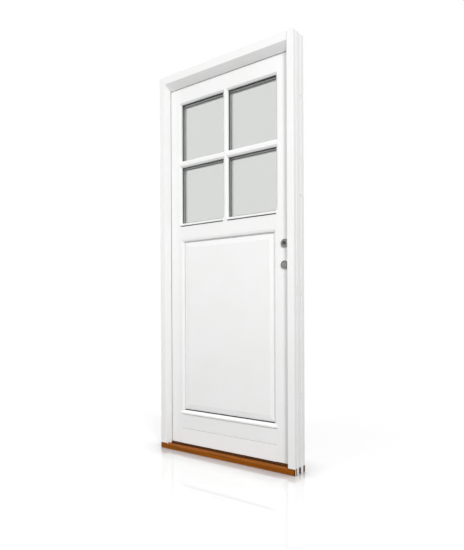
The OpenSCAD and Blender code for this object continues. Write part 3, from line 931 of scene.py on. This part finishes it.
@dataclass
class LockFittings:
    """The lock set: roses, cylinder, spindle follower, faceplate with its bolts, and the strike plate."""

    centre_x_mm: float = 370.0
    handle_z_mm: float = 1113.0
    cylinder_z_mm: float = 1008.0
    rose_mm: float = 21.0
    rose_rim_mm: float = 2.6
    rose_thick_mm: float = 8.0
    front_mm: float = -8.3
    back_mm: float = 48.3
    handle_hole_mm: float = 8.0
    cylinder_hole_mm: float = 11.8
    leaf_middle_mm: float = 20.0
    spindle_mm: float = 8.0
    follower_mm: float = 8.8
    follower_rim_mm: float = 2.0
    follower_deep_mm: float = 30.0

    def rose_outline(self, hole_mm: float) -> list[tuple[float, float]]:
        """Gives the rose's half section as radius and height above the leaf.

        Args:
            hole_mm: The radius of its hole.

        Returns:
            The points of the closed outline, in millimetres.
        """
        thick, rim = self.rose_thick_mm, self.rose_rim_mm
        corner = [
            (
                self.rose_mm - rim + rim * math.sin(math.radians(angle)),
                thick - rim + rim * math.cos(math.radians(angle)),
            )
            for angle in (0, 22, 45, 68, 90)
        ]
        collar = [(hole_mm, thick - 0.5), (hole_mm + 0.5, thick), (hole_mm + 2.2, thick)]
        groove = [(hole_mm + 2.4, thick - 1.8), (hole_mm + 3.6, thick - 1.8), (hole_mm + 3.8, thick - 0.1)]
        return [(hole_mm, 0.0), *collar, *groove, *corner, (self.rose_mm, 0.0)]

    def turn_rose(self, node: str, height_mm: float, hole_mm: float, outside: bool) -> None:
        """Turns one rose on the lathe in the place of its CAD node.

        Args:
            node: The CAD node that it stands for.
            height_mm: The height of its centre.
            hole_mm: The radius of its hole.
            outside: True for the front of the leaf.
        """
        mesh = bmesh.new()
        face, way = (self.front_mm, -1.0) if outside else (self.back_mm, 1.0)
        centre = Vector((self.centre_x_mm, 0.0, height_mm)) * MM
        ring = [
            mesh.verts.new(centre + Vector((radius, face + way * rise, 0.0)) * MM)
            for radius, rise in self.rose_outline(hole_mm)
        ]
        edges = [mesh.edges.new((ring[i - 1], ring[i])) for i in range(len(ring))]
        bmesh.ops.spin(
            mesh,
            geom=[*ring, *edges],
            cent=centre,
            axis=(0.0, 1.0, 0.0),
            angle=math.tau,
            steps=72,
            use_merge=True,
        )
        bmesh.ops.remove_doubles(mesh, verts=mesh.verts, dist=0.001 * MM)
        bmesh.ops.recalc_face_normals(mesh, faces=mesh.faces)
        finish = WorkedMetal(
            f"turned_steel_{round(height_mm)}",
            Lay.TURNED,
            colour="9C9B97",
            tarnish="7C7B78",
            centre_mm=(self.centre_x_mm, 0.0, height_mm),
            roughness=0.24,
        )
        piece = set_up(f"{node}_turned", mesh, "leaf", finish, [node])
        piece.data.shade_smooth()
        piece.data.set_sharp_from_angle(angle=math.radians(30.0))

    def make_follower(self) -> None:
        """Makes the lock's follower, the disc with a square hole behind the roses that takes the spindle."""
        mesh = bmesh.new()
        bmesh.ops.create_circle(mesh, cap_ends=True, segments=48, radius=self.follower_mm * MM)
        face = next(iter(mesh.faces))
        bmesh.ops.inset_individual(mesh, faces=[face], thickness=self.follower_rim_mm * MM)
        half = self.spindle_mm / 2 * MM
        for vert in face.verts:
            widest = max(abs(vert.co.x), abs(vert.co.y))
            vert.co.xy *= half / widest
        bmesh.ops.delete(mesh, geom=[face], context="FACES_ONLY")
        deep = bmesh.ops.extrude_face_region(mesh, geom=list(mesh.faces))
        moved = [v for v in deep["geom"] if isinstance(v, bmesh.types.BMVert)]
        bmesh.ops.translate(mesh, vec=(0.0, 0.0, self.follower_deep_mm * MM), verts=moved)
        bmesh.ops.rotate(
            mesh, cent=(0.0, 0.0, 0.0), matrix=Matrix.Rotation(math.radians(90.0), 3, "X"), verts=mesh.verts
        )
        back = self.leaf_middle_mm + self.follower_deep_mm / 2
        middle = Vector((self.centre_x_mm, back, self.handle_z_mm)) * MM
        bmesh.ops.translate(mesh, vec=middle, verts=mesh.verts)
        bmesh.ops.recalc_face_normals(mesh, faces=mesh.faces)
        set_up("spindle_follower", mesh, "leaf", CAST_ZINC)

    def build(self) -> None:
        """Builds the lock set."""
        for side in (True, False):
            word = "outside" if side else "inside"
            self.turn_rose(f"{word}_handle_rose", self.handle_z_mm, self.handle_hole_mm, side)
            self.turn_rose(f"{word}_cylinder_rose", self.cylinder_z_mm, self.cylinder_hole_mm, side)
        self.make_follower()
        EasedNode("lock_cylinder", BRUSHED_STEEL, ease_mm=0.3, shortest_mm=4.0).build()
        EasedNode("lock_faceplate", BRUSHED_STEEL, ease_mm=0.4, shortest_mm=2.0).build()
        EasedNode("strike_plate", BRUSHED_STEEL, ease_mm=0.3, shortest_mm=10.0).build()
        CountersunkScrews(
            "faceplate_screws", "leaf", ((402.2, 20.0, 951.0), (402.2, 20.0, 1170.0)), (1.0, 0.0, 0.0)
        ).build()
        CountersunkScrews(
            "strike_screws", "frame", ((410.35, 20.0, 949.0), (410.35, 20.0, 1172.0)), (-1.0, 0.0, 0.0)
        ).build()


@dataclass
class Hinges:
    """Three lift-off hinges on the inside: eased plates and knuckles, and their screws."""

    feet_mm: tuple[float, ...] = (200.0, 979.75, 1759.5)
    names: tuple[str, ...] = ("bottom", "middle", "top")
    face_mm: float = 51.3
    leaf_row_mm: float = -385.0
    frame_row_mm: float = -429.0
    rises_mm: tuple[float, ...] = (10.0, 40.5, 71.0)

    def build(self) -> None:
        """Builds the hinges and their screws."""
        for name in self.names:
            for half in ("frame", "leaf"):
                EasedNode(f"{half}_hinge_{name}", BRUSHED_STEEL, ease_mm=0.5, shortest_mm=12.0).build()
        for half, row in (("frame", self.frame_row_mm), ("leaf", self.leaf_row_mm)):
            spots = tuple((row, self.face_mm, foot + rise) for foot in self.feet_mm for rise in self.rises_mm)
            CountersunkScrews(f"{half}_hinge_screws", half, spots, (0.0, 1.0, 0.0)).build()


@dataclass(frozen=True)
class SoftBox:
    """One area lamp of the studio."""

    name: str
    place: Point
    aim: Point
    size: tuple[float, float]
    watts: float
    colour: str = "FFFFFF"

    def build(self) -> None:
        """Hangs the lamp."""
        data = bpy.data.lights.new(self.name, "AREA")
        data.shape = "RECTANGLE"
        data.size, data.size_y = self.size
        data.energy = self.watts
        data.color = linear(self.colour)[:3]
        lamp = bpy.data.objects.new(self.name, data)
        lamp.location = self.place
        lamp.rotation_euler = (Vector(self.aim) - Vector(self.place)).to_track_quat("-Z", "Y").to_euler()
        lamp.visible_camera = False
        lamp.visible_glossy = False
        lamp.visible_transmission = False
        bpy.context.scene.collection.objects.link(lamp)


@dataclass
class Studio:
    """The photograph's view of the door: camera, white floor and backdrop, and soft lamps."""

    picture_px: tuple[int, int] = (464, 550)
    focal_px: float = 523.5
    optical_centre_px: tuple[float, float] = (232.0, 311.5)
    eye: Point = (1.719, -2.189, 0.787)
    turn_deg: Point = (37.55, -0.14, 0.24)
    floor_half: float = 12.0
    air: float = 0.64
    near_bounce: float = 0.04
    far_bounce: float = 0.06
    floor_glow: float = 0.08
    floor_share: float = 0.98
    mirror: float = 0.36
    white_from_m: tuple[float, float] = (0.75, 1.6)
    bounce_from_m: tuple[float, float] = (0.3, 2.2)
    nook_reach: float = 0.22
    nook_shade: float = 0.46

    def place_camera(self) -> None:
        """Sets the camera up as the photograph's was, with the shift its framing needs."""
        long_side = max(self.picture_px)
        data = bpy.data.cameras.new("view")
        data.sensor_width = 36.0
        data.lens = self.focal_px / long_side * data.sensor_width
        data.shift_x = (self.picture_px[0] / 2 - self.optical_centre_px[0]) / long_side
        data.shift_y = (self.optical_centre_px[1] - self.picture_px[1] / 2) / long_side
        data.clip_end = 100.0
        camera = bpy.data.objects.new("view", data)
        yaw, pitch, roll = (math.radians(angle) for angle in self.turn_deg)
        turn = Matrix.Rotation(yaw, 3, "Z") @ Matrix.Rotation(pitch, 3, "X") @ Matrix.Rotation(roll, 3, "Y")
        upright = turn @ Matrix.Rotation(math.radians(90.0), 3, "X")
        camera.location = self.eye
        camera.rotation_euler = upright.to_euler()
        bpy.context.scene.collection.objects.link(camera)
        bpy.context.scene.camera = camera

    @staticmethod
    def seen(tree: bpy.types.NodeTree) -> bpy.types.NodeSocket:
        """Adds the test of a ray that shows the backdrop itself: from the camera, a mirror or glass.

        Args:
            tree: The tree that gets the nodes.

        Returns:
            The socket that is 1 for such a ray.
        """
        ray = add_node(tree, "ShaderNodeLightPath").outputs
        first = add_node(
            tree,
            "ShaderNodeMath",
            {0: ray["Is Camera Ray"], 1: ray["Is Glossy Ray"]},
            operation="MAXIMUM",
        )
        both = add_node(
            tree,
            "ShaderNodeMath",
            {0: first.outputs[0], 1: ray["Is Transmission Ray"]},
            operation="MAXIMUM",
        )
        return both.outputs[0]

    def fill_air(self) -> None:
        """Makes the world: even studio light, and plain white wherever it is seen."""
        world = bpy.data.worlds.new("studio_air")
        world.use_nodes = True
        bpy.context.scene.world = world
        tree = world.node_tree
        tree.nodes.clear()
        light = add_node(tree, "ShaderNodeBackground", {"Color": linear("FFFFFF"), "Strength": self.air})
        white = add_node(tree, "ShaderNodeBackground", {"Color": linear("FFFFFF"), "Strength": 1.0})
        either = add_node(
            tree, "ShaderNodeMixShader", {0: self.seen(tree), 1: light.outputs[0], 2: white.outputs[0]}
        )
        add_node(tree, "ShaderNodeOutputWorld", {"Surface": either.outputs[0]})

    def lay_floor(self) -> None:
        """Lays the floor, which is white, keeps the door's shadow and mirrors it faintly."""
        mesh = bmesh.new()
        bmesh.ops.create_grid(mesh, x_segments=2, y_segments=2, size=self.floor_half)
        bmesh.ops.translate(mesh, vec=(0.0, 0.0, -0.3 * MM), verts=mesh.verts)
        data = bpy.data.meshes.new("floor")
        mesh.to_mesh(data)
        mesh.free()
        floor = bpy.data.objects.new("floor", data)
        bpy.context.scene.collection.objects.link(floor)
        data.materials.append(self.floor_finish())

    def floor_finish(self) -> bpy.types.Material:
        """Makes the floor's white gloss laminate.

        Returns:
            The material.
        """
        material = bpy.data.materials.new("white_gloss_laminate")
        material.use_nodes = True
        tree = material.node_tree
        tree.nodes.clear()
        place = add_node(tree, "ShaderNodeTexCoord").outputs["Object"]
        reach = add_node(tree, "ShaderNodeVectorMath", {0: place}, operation="LENGTH").outputs["Value"]
        far = map_range(tree, reach, self.white_from_m, interpolation_type="SMOOTHSTEP")
        # Bounce rays see a floor that is darker near the door: a painted shade that dims the door's foot.
        tone = map_range(tree, reach, self.bounce_from_m, (self.near_bounce, self.far_bounce))
        bounce = add_node(tree, "ShaderNodeBsdfDiffuse", {"Color": tone})
        # The AO node darkens the lit floor's colour around the door's foot: painted shade on top of the real
        # shadow.
        nook = add_node(tree, "ShaderNodeAmbientOcclusion", {"Distance": self.nook_reach}, samples=12)
        share = map_range(
            tree, nook.outputs["AO"], (0.5, 1.0), (self.floor_share * self.nook_shade, self.floor_share)
        )
        lit = add_node(tree, "ShaderNodeBsdfDiffuse", {"Color": share})
        lift = add_node(
            tree, "ShaderNodeEmission", {"Color": linear("FFFFFF"), "Strength": self.floor_glow}
        )
        shaded = add_node(tree, "ShaderNodeAddShader", {0: lit.outputs[0], 1: lift.outputs[0]})
        white = add_node(tree, "ShaderNodeEmission", {"Color": linear("FFFFFF"), "Strength": 1.0})
        ground = add_node(
            tree, "ShaderNodeMixShader", {0: far, 1: shaded.outputs[0], 2: white.outputs[0]}
        )
        gloss = add_node(tree, "ShaderNodeBsdfGlossy", {"Color": linear("FFFFFF"), "Roughness": 0.06})
        polished = add_node(
            tree, "ShaderNodeMixShader", {0: self.mirror, 1: ground.outputs[0], 2: gloss.outputs[0]}
        )
        either = add_node(
            tree, "ShaderNodeMixShader", {0: self.seen(tree), 1: bounce.outputs[0], 2: polished.outputs[0]}
        )
        add_node(tree, "ShaderNodeOutputMaterial", {"Surface": either.outputs[0]})
        return material

    def build(self) -> None:
        """Sets up the camera, the floor, the light and the colour view."""
        self.place_camera()
        self.fill_air()
        self.lay_floor()
        for lamp in (
            SoftBox("key_box", (4.1, -3.6, 3.0), (0.0, 0.0, 1.0), (1.1, 1.1), 168.0),
            SoftBox("near_box", (-0.3, -2.2, 1.1), (-0.1, 0.0, 1.0), (0.8, 0.6), 8.0),
            SoftBox("high_box", (-0.4, -3.2, 2.0), (-0.2, 0.0, 0.8), (1.0, 0.6), 4.0),
            SoftBox("left_box", (-1.8, -4.2, 3.4), (-0.2, 0.0, 0.8), (1.6, 0.8), 33.0),
            SoftBox("back_box", (2.8, 2.6, 0.9), (0.0, 0.0, 1.4), (1.6, 1.6), 13.0),
            SoftBox("rear_box", (-0.8, 4.8, 1.3), (0.0, 0.0, 1.1), (2.4, 1.6), 52.0),
        ):
            lamp.build()
        bpy.context.scene.view_settings.view_transform = "Standard"


def main() -> None:
    """Builds the door's looks in order, then the studio."""
    logging.basicConfig(level=logging.INFO, format="%(message)s")
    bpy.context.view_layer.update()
    for part in (FrameJoinery(), LeafJoinery(), Glazing(), PaintedShadeStrips(), LockFittings(), Hinges(), Studio()):
        part.build()
        LOG.info("%s: done", type(part).__name__)


if __name__ == "__main__":
    main()
